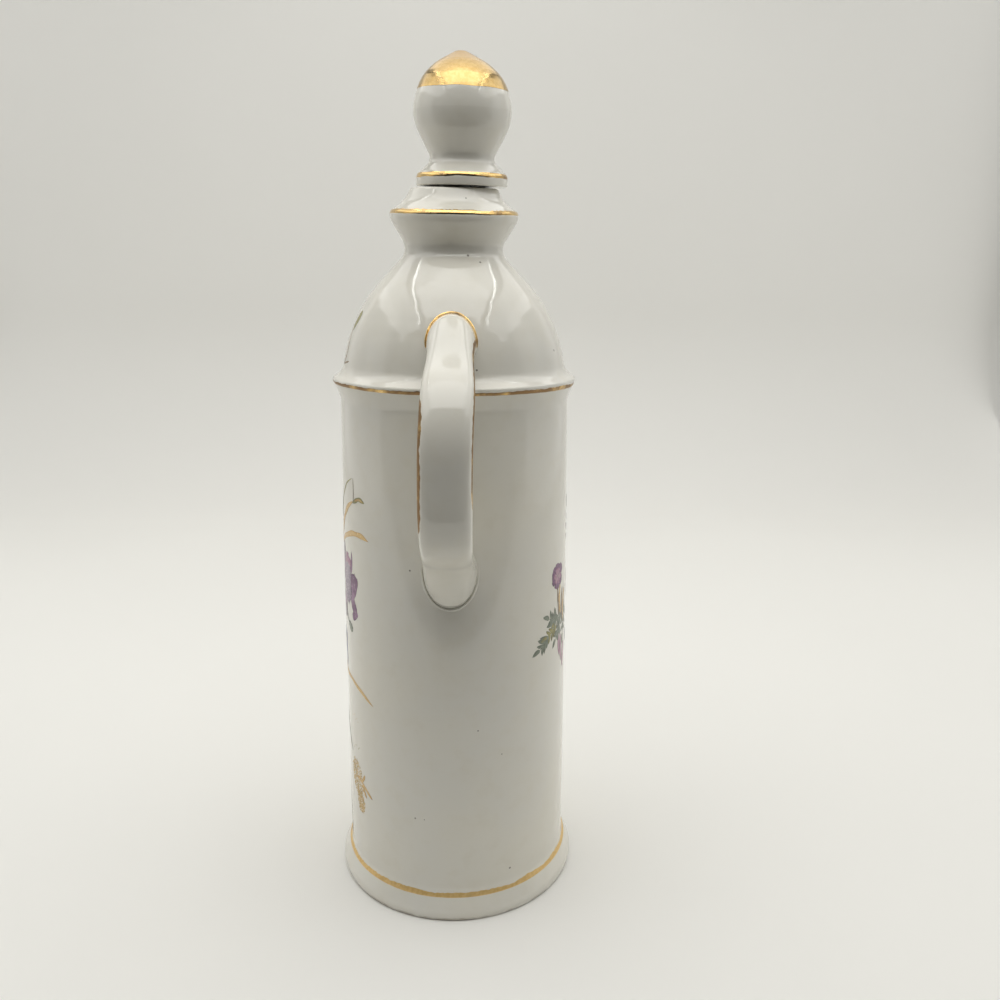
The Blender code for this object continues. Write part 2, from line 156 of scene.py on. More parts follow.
class Shade:
    """One output of a shader node; sums and products of it add their Math nodes to its material."""

    def __init__(self, tree, output=None):
        self.tree = tree
        self.output = output

    def add(self, kind, settings=None, sockets=None, output=0):
        """Add a node: its settings first, then the values or links of its sockets."""
        node = self.tree.nodes.new("ShaderNode" + kind)
        for name, value in (settings or {}).items():
            if name == "stops":
                elements = node.color_ramp.elements
                while len(elements) < len(value):
                    elements.new(1)
                for element, (position, colour) in zip(elements, value):
                    element.position = position
                    element.color = (*colour, 1)
            else:
                setattr(node, name, value)
        for name, value in (sockets or {}).items():
            if isinstance(value, Shade):
                self.tree.links.new(value.output, node.inputs[name])
            else:
                node.inputs[name].default_value = value
        return Shade(self.tree, node.outputs[output])

    def also(self, output):
        """Another output of the same node."""
        return Shade(self.tree, self.output.node.outputs[output])

    def maths(self, operation, other=0):
        """A Math node on this value and on another, where the operation needs two."""
        return self.add("Math", {"operation": operation}, {0: self, 1: other})

    def __add__(self, other):
        return self.maths("ADD", other)

    __radd__ = __add__

    def __sub__(self, other):
        return self.maths("SUBTRACT", other)

    def __rsub__(self, other):
        return self.add("Math", {"operation": "SUBTRACT"}, {0: other, 1: self})

    def __mul__(self, other):
        return self.maths("MULTIPLY", other)

    __rmul__ = __mul__

    def rise(self, low, high):
        """A smooth step from 0 at low to 1 at high."""
        return self.add("MapRange", {"interpolation_type": "SMOOTHSTEP"},
                        {"Value": self, "From Min": low, "From Max": high})

    def colour(self, zero, one):
        """A colour that goes from zero to one as this value goes from 0 to 1."""
        ends = [end if isinstance(end, Shade) else (*end, 1) for end in (zero, one)]
        return self.add("Mix", {"data_type": "RGBA"}, {0: self, 6: ends[0], 7: ends[1]}, output=2)

    def grain(self, scale, detail):
        """Soft noise between 0 and 1 over this place."""
        return self.add("TexNoise", {}, {"Vector": self, "Scale": scale, "Detail": detail})


def new_finish(name, **constants):
    """A material, the place on its surface and its shader, whose constant sockets are set here."""
    material = bpy.data.materials.new(name)
    material.use_nodes = True
    tree = material.node_tree
    surface = tree.nodes["Principled BSDF"]
    for socket, value in constants.items():
        surface.inputs[socket.replace("_", " ")].default_value = value
    return material, Shade(tree).add("TexCoord", output="Object"), surface


def feed(surface, **links):
    """Link varying values into a shader's sockets."""
    for socket, shade in links.items():
        shade.tree.links.new(shade.output, surface.inputs[socket.replace("_", " ")])


def porcelain(name, pits=(), foot=False):
    """Ivory porcelain under clear glaze: faint clouds in its colour, iron specks, pits and a soft ripple."""
    material, place, surface = new_finish(name, IOR=1.5, Coat_Roughness=0.03, Coat_Weight=0.35)
    clouds = place.grain(26, 3)
    mottle = place.grain(210, 4)
    body = clouds.rise(0.3, 0.7).colour(glaze_cool, glaze_warm)
    body = (mottle.rise(0.45, 0.8) * 0.35).colour(body, glaze_deep)
    cells = place.add("TexVoronoi", {}, {"Vector": place, "Scale": 170})
    lucky = place.add("SeparateColor", {}, {0: cells.also("Color")}).rise(0.952, 0.96)
    speck = (1 - cells.rise(0.035, 0.075)) * lucky
    pit = 0
    for pit_place, pit_size in pits:
        away = place.add("VectorMath", {"operation": "DISTANCE"}, {0: place, 1: pit_place}, output="Value")
        ragged = away + mottle * (0.35 * pit_size) - 0.17 * pit_size
        pit = pit + (1 - ragged.rise(0.45 * pit_size, 1.0 * pit_size))
    marked = (speck * 0.75 + pit * 0.9).colour(body, speck_brown)
    rough = 0.055 + mottle * 0.05 + clouds * 0.03 + pit * 0.4
    if foot:
        height = place.add("SeparateXYZ", {}, {0: place}, output="Z")
        # Painted shade: a grey-brown band just above the bare foot ring, standing for dirt on its edge and
        # for the contact shadow along the floor.
        grime_and_shade = (1 - height.rise(0.35 * MM, 1.5 * MM)) * mottle.rise(0.3, 0.62)
        marked = (grime_and_shade * 0.75).colour(marked, grime_and_shade_brown)
        bare = 1 - height.rise(0.12 * MM, 0.4 * MM)
        marked = bare.colour(marked, biscuit)
        rough = rough + bare * 0.6 + grime_and_shade * 0.25
    relief = place.grain(75, 2) * 0.6 + mottle * 0.06 - speck * 0.4 - pit * 1.5
    bump = place.add("Bump", {}, {"Strength": 0.22, "Distance": 0.16 * MM, "Height": relief})
    feed(surface, Base_Color=marked, Roughness=rough, Normal=bump)
    return material


glaze_cool = (0.785, 0.765, 0.70)
glaze_warm = (0.805, 0.775, 0.685)
glaze_deep = (0.745, 0.705, 0.60)
speck_brown = (0.11, 0.085, 0.06)
# The brown of the dirt and painted contact shadow at the foot's bottom edge.
grime_and_shade_brown = (0.30, 0.245, 0.18)
biscuit = (0.62, 0.575, 0.50)

bottle_wire = outline_wire(bottle_hollow, bottle_outside, bottle_underside)
bottle_line = in_order(bottle_wire, bottle_hollow["floor middle"])
mouth_height = max(place.z for place in bottle_line)
rim_end = max(index for index, place in enumerate(bottle_line) if place.z > mouth_height - 0.001 * MM)
foot_start = min(index for index, place in enumerate(bottle_line) if index > rim_end and place.z < 0.001 * MM)
outside_line = bottle_line[rim_end:foot_start + 1][::-1]
outside_heights = [place.z for place in outside_line]


def between(values, value):
    """Where a value falls in a rising list: the index above it, and its share of the step up to there."""
    above = min(max(bisect.bisect_left(values, value), 1), len(values) - 1)
    return above, (value - values[above - 1]) / max(values[above] - values[above - 1], 0.0001 * MM)


def outside_radius(height):
    """The bottle's outer radius at a height."""
    height = min(max(height, outside_heights[0]), outside_heights[-1])
    above, share = between(outside_heights, height)
    low = outside_line[above - 1].x
    return low + (outside_line[above].x - low) * share


def unevenness(place):
    """How far the hand-sponged wall lies out of true at a place."""
    (broad_length, broad_depth), (small_length, small_depth) = out_of_true
    broad = noise.noise(place / broad_length)
    small = noise.noise(place / small_length + Vector((7, 3, 1)))
    return broad * broad_depth + small * small_depth


def eased(value, low, high):
    """A share that goes smoothly from 0 at low to 1 at high."""
    share = min(max((value - low) / (high - low), 0), 1)
    return share * share * (3 - 2 * share)


def lean(place):
    """Lean the collar and neck a little to the right and dip their front, as they sagged in the kiln."""
    share = eased(place.z, lean_start, lean_end)
    dip = place.y * neck_nod - place.x * neck_lean
    return place + Vector(((place.z - lean_start) * neck_lean * share, 0, dip * share))


def outwards(around):
    """The level direction at an angle from the handle's side, positive to its right."""
    return Vector((math.sin(around), -math.cos(around), 0))


def on_bottle(around, height, lift=0):
    """A point on the bottle's outside, lifted off it."""
    out = outwards(around)
    place = out * outside_radius(height) + Vector((0, 0, height))
    return lean(place + out * (unevenness(place) + lift))


turn_wire(bottle_wire, turn_steps)
for vertex in bottle_wire.verts:
    flat = Vector((vertex.co.x, vertex.co.y, 0))
    if flat.length > 1 * MM and vertex.co.z > flat_below:
        vertex.co += flat.normalized() * unevenness(vertex.co)
    vertex.co = lean(vertex.co)

neck_pits = [(on_bottle(0.26, 215.9 * MM), 0.3 * MM), (on_bottle(0.30, 199.8 * MM), 0.42 * MM),
             (on_bottle(0.49, 197.8 * MM), 0.45 * MM), (on_bottle(0.215, 169.2 * MM), 0.34 * MM)]
wall_pits = [(on_bottle(-0.345, 112.5 * MM), 0.34 * MM), (on_bottle(0.21, 63.0 * MM), 0.3 * MM),
             (on_bottle(0.42, 54.0 * MM), 0.26 * MM), (on_bottle(-0.25, 33.0 * MM), 0.22 * MM)]
bottle_glaze = porcelain("bottle_glaze", neck_pits + wall_pits, foot=True)
finish_piece(bottle_wire, "bottle_shell", bottle_glaze, "bottle", "glazed_porcelain", "bottle_body", sharp=50)


# The strap handle: a flattened roll of clay pulled to a bow, stuck to the dome and the wall with slip
# before firing, and dipped in the same glaze. A little slip stands proud where it meets the bottle.
strap_corners = {
    "in the dome": (26.0, 176.0, 0),
    "at the dome": (33.5, 176.0, 4.0),
    "upper bend": (62.7, 164.2, 13.5),
    "lower bend": (62.1, 128.5, 9.5),
    "at the wall": (35.0, 112.8, 4.0),
    "in the wall": (26.0, 112.8, 0),
}
strap_thickness = 6.6 * MM
strap_top_shift = 0.25 * MM
strap_foot_shift = -0.45 * MM
strap_width = 13.55 * MM
strap_neck_width = 11.7 * MM
strap_top_width = 13.4 * MM
strap_foot_width = 15.5 * MM
strap_top_heights = (8.1 * MM, 6.8 * MM)
strap_foot_heights = (12.2 * MM, 7.8 * MM)
strap_top_root = 6.5 * MM
strap_foot_root = 9.0 * MM
strap_root_length = 19 * MM
strap_squareness = 2.7
strap_filling_shares = (0.1, 0.32)
strap_shifting_shares = (0.22, 0.55)
strap_heave = 0.09 * MM
strap_heave_length = 12 * MM
strap_sunk = 0.8 * MM
bow_spacing = 0.8 * MM
bow_softening = 16
slip_fillet = 1.1 * MM
slip_swell = slip_fillet * 0.25
slip_tuck = 0.7 * MM
tuck_depth = slip_tuck * 0.6
strap_sides = 96
strap_rows = 150


def even_line(places, spacing, softening):
    """Points spaced evenly along a line, with its changes of bend softened."""
    steps = [(ahead - here).length for here, ahead in zip(places, places[1:])]
    count = round(sum(steps) / spacing)
    line = []
    for index in range(count + 1):
        left = sum(steps) * index / count
        segment = 0
        while segment < len(steps) - 1 and left > steps[segment]:
            left -= steps[segment]
            segment += 1
        line.append(places[segment].lerp(places[segment + 1], min(left / steps[segment], 1)))
    for _ in range(softening):
        inner = [(back + here * 2 + ahead) / 4 for back, here, ahead in zip(line, line[1:], line[2:])]
        line = [line[0], *inner, line[-1]]
    return line


def runs_along(line):
    """The distance from a line's start to each of its points."""
    runs = [0.0]
    for here, ahead in zip(line, line[1:]):
        runs.append(runs[-1] + (ahead - here).length)
    return runs


strap_wire = outline_wire(strap_corners)
strap_bow = even_line(in_order(strap_wire, strap_corners["in the dome"]), bow_spacing, bow_softening)
strap_wire.free()
strap_length = runs_along(strap_bow)[-1]


def along_strap(share):
    """The bow's point and heading at a share of its length; x is the distance from the bottle's axis."""
    position = min(max(share, 0), 1) * (len(strap_bow) - 1)
    index = min(int(position), len(strap_bow) - 2)
    place = strap_bow[index].lerp(strap_bow[index + 1], position - index)
    back = strap_bow[max(index - 1, 0)]
    ahead = strap_bow[min(index + 2, len(strap_bow) - 1)]
    return place, (ahead - back).normalized()


def strap_skin(side, share, proud=0):
    """A point on the strap: side is an angle round its section, 0 at its right edge, 90 degrees outwards."""
    place, heading = along_strap(share)
    distance = share * strap_length
    from_top = min(max((distance - strap_top_root) / strap_root_length, 0), 1)
    from_foot = min(max((strap_length - distance - strap_foot_root) / strap_root_length, 0), 1)
    top_flare = (1 - from_top) ** 2
    foot_flare = (1 - from_foot) ** 2
    width = strap_neck_width + (strap_width - strap_neck_width) * eased(share, *strap_filling_shares)
    width += (strap_top_width - width) * top_flare + (strap_foot_width - width) * foot_flare
    face = 0 if math.sin(side) > 0 else 1
    depth = strap_thickness / 2
    depth += (strap_top_heights[face] - depth) * top_flare
    depth += (strap_foot_heights[face] - depth) * foot_flare
    flare = max(top_flare, foot_flare)
    level = Vector((math.copysign(1, heading.x), 0, 0))
    heading = heading.lerp(level, flare).normalized()
    power = 2 / (strap_squareness + (2 - strap_squareness) * flare)
    across = math.copysign(abs(math.cos(side)) ** power, math.cos(side))
    out = math.copysign(abs(math.sin(side)) ** power, math.sin(side))
    normal = Vector((-heading.z, 0, heading.x))
    flat = place + normal * out * (depth + proud)
    shift = strap_top_shift + (strap_foot_shift - strap_top_shift) * eased(share, *strap_shifting_shares)
    return Vector((shift + (width / 2 + proud) * across, -flat.x, flat.z))


def standoff(point):
    """How far a point lies outside the bottle's wall."""
    return math.hypot(point.x, point.y) - outside_radius(point.z)


def strap_crossing(side, from_top, depth=0, proud=0):
    """The share of the strap's length at which one of its lines leaves the bottle's wall."""
    inside, outside = (0.0, 0.3) if from_top else (1.0, 0.7)
    for _ in range(24):
        middle = (inside + outside) / 2
        if standoff(strap_skin(side, middle, proud)) > -depth:
            outside = middle
        else:
            inside = middle
    return (inside + outside) / 2


def strap_surface(side, share, lift=0):
    """The strap's glazed skin: glaze fills its corner at the dome, and its foot is tucked in at the wall."""
    gap = standoff(strap_skin(side, share))
    swell = lift
    if share < 0.5 and gap < slip_fillet:
        swell += slip_swell * (1 - max(gap, 0) / slip_fillet) ** 2
    elif share > 0.5 and gap < slip_tuck:
        swell -= tuck_depth * (1 - max(gap, 0) / slip_tuck) ** 2
    heave = noise.noise(strap_skin(side, share) / strap_heave_length) * strap_heave
    return strap_skin(side, share, swell + heave * min(max(gap, 0) / slip_fillet, 1))


def moulded_grid(across, along, shape, closed=False, into=None):
    """A grid moulded by shape(u, v), with u across and v along from 0 to 1; closed joins its long sides."""
    grid = into or bmesh.new()
    grid.loops.layers.uv.verify()
    made = bmesh.ops.create_grid(grid, x_segments=across, y_segments=along, size=1, calc_uvs=True)["verts"]
    for vertex in made:
        vertex.co = shape((vertex.co.x + 1) / 2, (vertex.co.y + 1) / 2)
    if closed:
        bmesh.ops.remove_doubles(grid, verts=made, dist=0.002 * MM)
    return grid


strap_ends = {}


def strap_grid_point(u, v):
    """Rows run from just under the dome's skin to just under the wall's."""
    side = 2 * math.pi * u
    if u not in strap_ends:
        strap_ends[u] = (strap_crossing(side, True, strap_sunk), strap_crossing(side, False, strap_sunk))
    start, end = strap_ends[u]
    return strap_surface(side, start + (end - start) * v)


strap = moulded_grid(strap_sides, strap_rows, strap_grid_point, closed=True)
bmesh.ops.holes_fill(strap, edges=[edge for edge in strap.edges if edge.is_boundary], sides=0)
bmesh.ops.recalc_face_normals(strap, faces=strap.faces)
strap_glaze = porcelain("strap_glaze")
finish_piece(strap, "strap_shell", strap_glaze, "bottle", "handle_porcelain", "strap_handle", sharp=60)


# The slip round the strap's foot: clay and water squeezed out when the strap was pressed on, left as a
# low rounded bead, with a dark olive hairline along the joint.
bead_radius = 0.42 * MM
bead_proud = 0.42 * MM
bead_sunk = 0.12 * MM
bead_lumps = 2.6 * MM
seam_dark_radius = 0.075 * MM
seam_dark_proud = 0.06 * MM
seam_dark_sunk = 0.03 * MM
foot_sides = (math.radians(-14), math.radians(194))


def seam_tube(radius, proud, depth):
    """A tube along the strap's foot joint that thins out to nothing at both ends."""
    rings = {}

    def shape(u, v):
        if v not in rings:
            side = foot_sides[0] + (foot_sides[1] - foot_sides[0]) * v
            centres = []
            for step in (-0.01, 0, 0.01):
                share = strap_crossing(side + step, False, depth, proud)
                centres.append(strap_skin(side + step, share, proud))
            heading = (centres[2] - centres[0]).normalized()
            across = heading.cross(Vector((centres[1].x, centres[1].y, 0))).normalized()
            girth = radius * (1 - abs(2 * v - 1) ** 6) * (1 + 0.5 * noise.noise(centres[1] / bead_lumps))
            rings[v] = (centres[1], across * girth, across.cross(heading) * girth)
        centre, across, raised = rings[v]
        turn = 2 * math.pi * u
        return centre + across * math.cos(turn) + raised * math.sin(turn)

    tube = moulded_grid(10, 150, shape, closed=True)
    bmesh.ops.recalc_face_normals(tube, faces=tube.faces)
    return tube


bead = seam_tube(bead_radius, bead_proud, bead_sunk)
finish_piece(bead, "slip_bead", strap_glaze, "bottle", "glazed_porcelain")

# The dark olive hairline: a thin tube of dark colour laid in the crevice along the foot joint.
seam_dark_deep = (0.10, 0.09, 0.05)
seam_dark_pale = (0.22, 0.20, 0.13)
seam_dark_paint, seam_dark_place, seam_dark_surface = new_finish("joint_dark_line", Roughness=0.5)
feed(seam_dark_surface, Base_Color=seam_dark_place.grain(900, 2).rise(0.35, 0.65).colour(seam_dark_deep, seam_dark_pale))
seam_dark_line = seam_tube(seam_dark_radius, seam_dark_proud, seam_dark_sunk)
finish_piece(seam_dark_line, "joint_dark_line", seam_dark_paint, "bottle", "glazed_porcelain")


# The bottle's gilding: liquid gold drawn on the fired glaze with a fine brush, so its lines waver, swell
# and thin. It runs round the foot, the shoulder ring and the collar, and edges the strap.
gold_lift = 0.05 * MM
gold_sunk = 0.015 * MM


def gilding(name, thin_from, thin_to, roughness=0.13, strength=1.0, worn_and_shaded_above=None, metallic=1.0):
    """Fired gold that turns brown and dull where the brush left it thin; above a height it browns for wear on
    a raised tip and for painted shade that dims its reflection.
    """
    material, place, surface = new_finish(name, Metallic=metallic)
    patches = place.grain(150, 3)
    fine = place.grain(1100, 3)
    thin = (patches * 0.75 + fine * 0.25).rise(thin_from, thin_to)
    if worn_and_shaded_above:
        # Painted shade and wear: above a height the gold browns, dimming the tip's reflection.
        height = place.add("SeparateXYZ", {}, {0: place}, output="Z")
        thin = thin.maths("MAXIMUM", (height + patches * (2 * MM)).rise(*worn_and_shaded_above) * 0.6)
    deep = [part * strength for part in gold_deep]
    bright = [part * strength for part in gold_bright]
    gold = fine.rise(0.3, 0.7).colour(deep, bright)
    rough = roughness + thin * 0.22 + fine * 0.08
    bump = place.add("Bump", {}, {"Strength": 0.25, "Distance": 0.05 * MM, "Height": patches + fine * 0.4})
    feed(surface, Base_Color=thin.colour(gold, thin_and_shaded_gold), Roughness=rough, Normal=bump)
    return material


gold_bright = (0.80, 0.57, 0.25)
gold_deep = (0.70, 0.47, 0.18)
# The brown of thin gold, also used for the painted shade and wear on the stopper's tip.
thin_and_shaded_gold = (0.28, 0.175, 0.085)
line_gold = gilding("line_gold", 0.5, 0.68)

outside_runs = runs_along(outside_line)


def run_to(height):
    """The distance along the bottle's outline from its foot ring up to a height."""
    above, share = between(outside_heights, height)
    return outside_runs[above - 1] + (outside_runs[above] - outside_runs[above - 1]) * share


def outline_spot(line, runs, run):
    """The place and the outward normal at a distance along a turned outline."""
    above, share = between(runs, run)
    place = line[above - 1].lerp(line[above], share)
    heading = line[min(above + 1, len(line) - 1)] - line[max(above - 2, 0)]
    return place, Vector((heading.z, 0, -heading.x)).normalized()


def on_run(around, run, lift):
    """A point on the bottle's skin at a distance along its outline, raised along its normal."""
    flat, normal = outline_spot(outside_line, outside_runs, run)
    out = outwards(around)
    ground = out * flat.x + Vector((0, 0, flat.z))
    return lean(ground + out * (unevenness(ground) + normal.x * lift) + Vector((0, 0, normal.z * lift)))


def lens(share):
    """The height of a brush line over its width: raised in the middle, its edges just under the glaze."""
    return (gold_lift + gold_sunk) * (1 - abs(2 * share - 1) ** 4) - gold_sunk


def waver(around, seed, coarse):
    """A smooth random value that meets itself after a full turn."""
    return noise.noise(Vector((math.cos(around) * coarse, math.sin(around) * coarse, seed)))


def gilded_ring(low, high, ragged, seed, front_dip, right_dip):
    """A brush line right round the bottle between two heights, with its edges wandering."""
    start = run_to(low)
    width = run_to(high) - start

    def shape(u, v):
        around = 2 * math.pi * u
        below = start + ragged * (waver(around, seed, 2.2) + 0.4 * waver(around, seed, 15))
        below -= front_dip * math.cos(around) + right_dip * math.sin(around)
        wide = width * (1 + 0.3 * waver(around, seed + 5, 4) + 0.22 * waver(around, seed + 9, 28))
        return on_run(around, below + wide * v, lens(v))

    return moulded_grid(720, 6, shape, closed=True)


worn_gold = gilding("worn_gold", 0.3, 0.55, roughness=0.2)
rubbed_gold = gilding("rubbed_gold", 0.55, 0.85, roughness=0.38, strength=1.08, metallic=0.4)
for ring_name, ring_gold, ring_low, ring_high, ring_ragged, front_dip, right_dip in (
        ("foot_line", rubbed_gold, 6.95 * MM, 8.35 * MM, 0.08 * MM, 0.1 * MM, 0),
        ("shoulder_line", worn_gold, 162.6 * MM, 163.65 * MM, 0.16 * MM, -0.05 * MM, 0.35 * MM),
        ("collar_line", line_gold, 211.45 * MM, 212.75 * MM, 0.12 * MM, 0, 0)):
    ring = gilded_ring(ring_low, ring_high, ring_ragged, ring_low / MM, front_dip, right_dip)
    finish_piece(ring, ring_name, ring_gold, "bottle", "glazed_porcelain")

arch_sides = (math.radians(186), math.radians(-6))
arch_gap = 1.5 * MM
arch_spread = 0.3 * MM
arch_crease_share = 0.45


def arch_point(u, v):
    """The gold arch over the strap's joint with the dome."""
    side = arch_sides[0] + (arch_sides[1] - arch_sides[0]) * v
    taper = min(v * 14, (1 - v) * 14, 1) ** 0.5
    wide = taper * (0.7 + 0.25 * waver(side * 2, 3, 2) + 0.7 * (1 - v) ** 2)
    if u < arch_crease_share:
        proud = slip_swell + arch_spread * wide * (1 - u / arch_crease_share)
        foot = strap_skin(side, strap_crossing(side, True, 0, proud), proud)
        return on_bottle(math.atan2(foot.x, -foot.y), foot.z, lens(u) + gold_lift * 0.5)
    up_strap = (u - arch_crease_share) / (1 - arch_crease_share)
    return strap_surface(side, strap_crossing(side, True, -arch_gap * wide * up_strap), lens(u))


arch = moulded_grid(12, 140, arch_point)
bmesh.ops.recalc_face_normals(arch, faces=arch.faces)
finish_piece(arch, "arch_line", line_gold, "bottle", "handle_porcelain")

edge_wander = 0.15 * MM
strap_gold = bmesh.new()


def draw_edge_line(right, start, end, middle, width, seed):
    """A gold line down one edge of the strap; middle is how far out of the edge's centre it lies."""

    def shape(u, v):
        begin = max(start, strap_crossing(0 if right else math.pi, True) + 0.003)
        share = begin + (end - begin) * v
        wander = edge_wander * noise.noise(Vector((share * 22, seed, 0)))
        brush = (1 - abs(2 * v - 1) ** 10) * (1 + 0.35 * noise.noise(Vector((share * 60, seed, 4))))
        offset = (middle + wander + (u - 0.5) * width * brush) / (strap_thickness / 2)
        side = math.asin(math.copysign(min(abs(offset), 1) ** (strap_squareness / 2), offset))
        return strap_surface(side if right else math.pi - side, share, lens(u))

    moulded_grid(6, 220, shape, into=strap_gold)


draw_edge_line(right=True, start=0.0, end=0.56, middle=0.8 * MM, width=1.5 * MM, seed=0.0)
draw_edge_line(right=False, start=0.31, end=0.62, middle=1.0 * MM, width=2.7 * MM, seed=9.3)
bmesh.ops.recalc_face_normals(strap_gold, faces=strap_gold.faces)
finish_piece(strap_gold, "strap_lines", worn_gold, "bottle", "handle_porcelain")


# The flower transfers: printed sheets of ceramic ink slid on to the glaze and fired, one spray on each
# side and a sprig on the dome. Each patch of ink stands a hair proud of the glaze.
ink_lift = 0.035 * MM
ink_layer = 0.014 * MM


def ink(name, light, dark, outline, vein_scale, stipple, metallic=0.0):
    """Fired ink: its UV map runs across and along each stroke, for its veins, shading and dark outline."""
    material, place, surface = new_finish(name, Metallic=metallic, IOR=1.5)
    across = place.add("SeparateXYZ", {}, {0: place.also("UV")})
    along = across.also("Y")
    off_centre = (across - 0.5).maths("ABSOLUTE") * 2
    grain = place.grain(1400, 3)
    blot = place.grain(330, 2)
    streak = (across * vein_scale + blot * 2.5).maths("SINE")
    tone = (along * 0.45 + blot * 0.9 + streak * 0.12 - 0.25).rise(0.05, 0.75)
    body = tone.colour(light, dark)
    dots = grain.rise(0.56, 0.66) * stipple
    body = dots.colour(body, light)
    rim = (off_centre + grain * 0.25).rise(0.78, 1.0) + (along + grain * 0.12).rise(0.93, 1.02)
    bump = place.add("Bump", {}, {"Strength": 0.3, "Distance": 0.03 * MM, "Height": grain + rim * 0.5})
    edged = (rim.maths("MINIMUM", 1) * 0.8).colour(body, outline)
    feed(surface, Base_Color=edged, Roughness=0.14 + grain * 0.2, Normal=bump)
    return material


ink_tones = {
    "purple": ((0.36, 0.20, 0.33), (0.15, 0.055, 0.14), (0.07, 0.025, 0.07), 26, 0.35),
    "lilac": ((0.47, 0.39, 0.46), (0.26, 0.18, 0.26), (0.12, 0.065, 0.12), 30, 0.8),
    "pink": ((0.60, 0.42, 0.46), (0.38, 0.16, 0.27), (0.20, 0.07, 0.15), 22, 0.45),
    "blue": ((0.45, 0.47, 0.60), (0.20, 0.22, 0.40), (0.09, 0.10, 0.22), 24, 0.5),
    "green": ((0.27, 0.30, 0.23), (0.13, 0.155, 0.11), (0.065, 0.08, 0.06), 9, 0.35),
    "olive": ((0.38, 0.35, 0.14), (0.19, 0.18, 0.07), (0.09, 0.085, 0.04), 9, 0.4),
    "umber": ((0.34, 0.25, 0.14), (0.19, 0.12, 0.06), (0.10, 0.06, 0.03), 8, 0.3),
    "gold": ((0.74, 0.52, 0.24), (0.58, 0.36, 0.13), (0.24, 0.13, 0.05), 7, 0.25),
}
inked = {tone: bmesh.new() for tone in ink_tones}


def on_wall(across, height, lift=0):
    """A point so many mm along the wall, positive to the handle's right, and so many mm up from the foot."""
    height *= MM
    return on_bottle(across * MM / outside_radius(height), height, lift)


def print_patch(tone, outline, level=0, across=6, along=12):
    """Print a patch whose outline(u, v) gives places on the wall; its border goes down into the glaze."""

    def shape(u, v):
        inner_u = min(max((u * across - 1) / (across - 2), 0), 1)
        inner_v = min(max((v * along - 1) / (along - 2), 0), 1)
        border = min(u, 1 - u, v, 1 - v) < 0.001
        lift = -ink_layer if border else ink_lift + ink_layer * level
        return on_wall(*outline(inner_u, inner_v), lift)

    moulded_grid(across, along, shape, into=inked[tone])


def blade(root, tip, width, bow=0.0, root_share=0.5, tip_share=0.5, ragged=0.0, seed=0.0):
    """The outline of a petal, leaf or brush stroke; the shares set how fast it widens and narrows."""
    root = Vector(root)
    along = Vector(tip) - root
    across = Vector((along.y, -along.x)).normalized()
    fullest = root_share / (root_share + tip_share)
    scale = fullest ** root_share * (1 - fullest) ** tip_share

    def outline(u, v):
        reach = v * (1 + ragged * v * noise.noise(Vector((u * 3.6, seed, 0.5))))
        edge = 1 + ragged * 1.2 * noise.noise(Vector((v * 3.1, seed, round(u) * 4 + 9)))
        half = width / 2 * (v ** root_share * (1 - v) ** tip_share) / scale * edge
        place = root + along * reach + across * (bow * along.length * 4 * v * (1 - v) + (2 * u - 1) * half)
        return place.x, place.y

    return outline


def stroke(points, width, seed=0.0):
    """The outline of a brush line through a few points, with its width swelling and its ends pointed."""
    line = even_line([Vector((*point, 0)) for point in points], 0.4, 10)

    def outline(u, v):
        position = v * (len(line) - 1)
        index = min(int(position), len(line) - 2)
        place = line[index].lerp(line[index + 1], position - index)
        heading = line[min(index + 2, len(line) - 1)] - line[max(index - 1, 0)]
        across = Vector((heading.y, -heading.x)).normalized()
        swell = (1 - abs(2 * v - 1) ** 5) * (1 + 0.35 * noise.noise(Vector((v * 6, seed, 2))))
        place = place.xy + across * (u - 0.5) * width * swell
        return place.x, place.y

    return outline


def print_dots(tone, places, size, level=0):
    """Small round dots of ink, each a low flat-topped button in the middle tone of its ink."""
    uv_map = inked[tone].loops.layers.uv.verify()
    for across, height in places:
        ground = on_wall(across, height)
        out = Vector((ground.x, ground.y, 0)).normalized()
        facing = out.to_track_quat("Z", "Y").to_matrix().to_4x4()
        dot = bmesh.ops.create_cone(inked[tone], cap_ends=True, segments=7, radius1=size, radius2=size * 0.6,
                                    depth=ink_layer * 4, matrix=facing)
        bmesh.ops.translate(inked[tone], verts=dot["verts"], vec=ground + out * ink_layer * (level + 1))
        for vertex in dot["verts"]:
            for loop in vertex.link_loops:
                loop[uv_map].uv = (0.5, 0.35)


def polar(centre, angle, distance):
    """A place at an angle in degrees and a distance in mm from a centre on the wall."""
    turn = math.radians(angle)
    return centre[0] + distance * math.cos(turn), centre[1] + distance * math.sin(turn)


def print_flower(centre, reach, tones, petals, dice, turned=0):
    """A blossom: broad outer petals, smaller inner ones laid between them, and a stippled heart."""
    outer, inner, heart = tones
    for petal in range(petals):
        angle = turned + 360 * petal / petals + dice.uniform(-7, 7)
        length = reach * dice.uniform(0.86, 1.04)
        petal_outline = blade(polar(centre, angle, reach * 0.12), polar(centre, angle, length), reach * 0.82,
                              dice.uniform(-0.05, 0.05), 0.75, 0.33, 0.2, dice.uniform(0, 90))
        print_patch(outer, petal_outline, petal % 3, 14, 18)
    for petal in range(petals):
        angle = turned + 360 * (petal + 0.5) / petals + dice.uniform(-8, 8)
        petal_outline = blade(polar(centre, angle, reach * 0.06), polar(centre, angle, reach * 0.6),
                              reach * 0.42, dice.uniform(-0.08, 0.08), 0.7, 0.4, 0.25, dice.uniform(0, 90))
        print_patch(inner, petal_outline, 3 + petal % 2, 10, 12)
    specks = []
    for speck in range(46):
        specks.append(polar(centre, speck * 137.5, reach * 0.36 * math.sqrt(speck / 46)))
    print_dots(heart, specks, reach * 0.022 * MM, 5)


